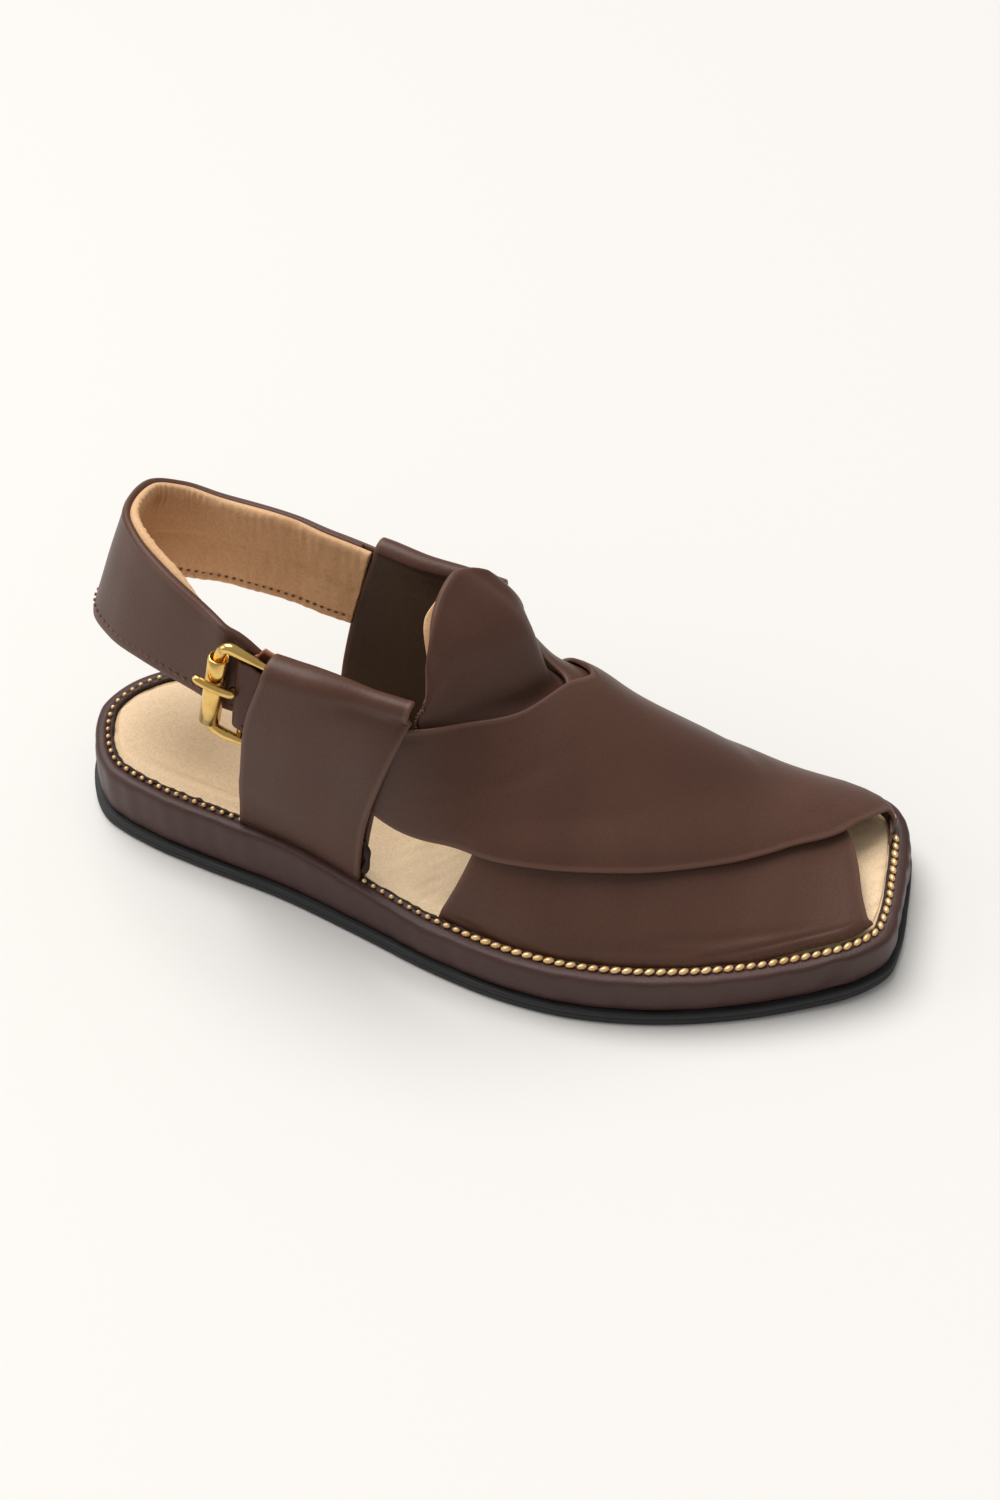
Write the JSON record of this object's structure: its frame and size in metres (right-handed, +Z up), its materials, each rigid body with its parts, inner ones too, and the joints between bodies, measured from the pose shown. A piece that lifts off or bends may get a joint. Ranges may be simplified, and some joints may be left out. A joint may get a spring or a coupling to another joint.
{
  "type": "peshawari chappal",
  "caption": "Right platform sandal with crossed front straps, a tongue, folded side bands and a padded heel strap closed by a roller buckle.",
  "frame": {"origin": "on the floor under the sole, midway along its length", "axes": "+X to the toe, +Y to the medial side of the right foot, +Z up"},
  "size_m": [0.2877, 0.1162, 0.1161],
  "materials": {
    "rubber": "matte near-black rubber",
    "sole_wrap": "fine-grained dark brown leather wrap",
    "insole_leather": "matte cream leather",
    "gold_edging": "golden cord",
    "brown_leather": "matte dark chocolate leather",
    "lining_leather": "matte cream leather",
    "brass": "satin brass"
  },
  "bodies": {
    "root": {"outsole": "rubber", "midsole": "sole_wrap", "insole": "insole_leather", "edge_cord": "gold_edging", "upper": "brown_leather", "tongue": "brown_leather", "loop_lateral": "brown_leather", "loop_medial": "brown_leather", "heel_strap": "brown_leather", "strap_lining": "lining_leather", "buckle_frame": "brass", "buckle_roller": "brass", "buckle_prong": "brass", "chape": "brown_leather"}
  },
  "joints": []
}
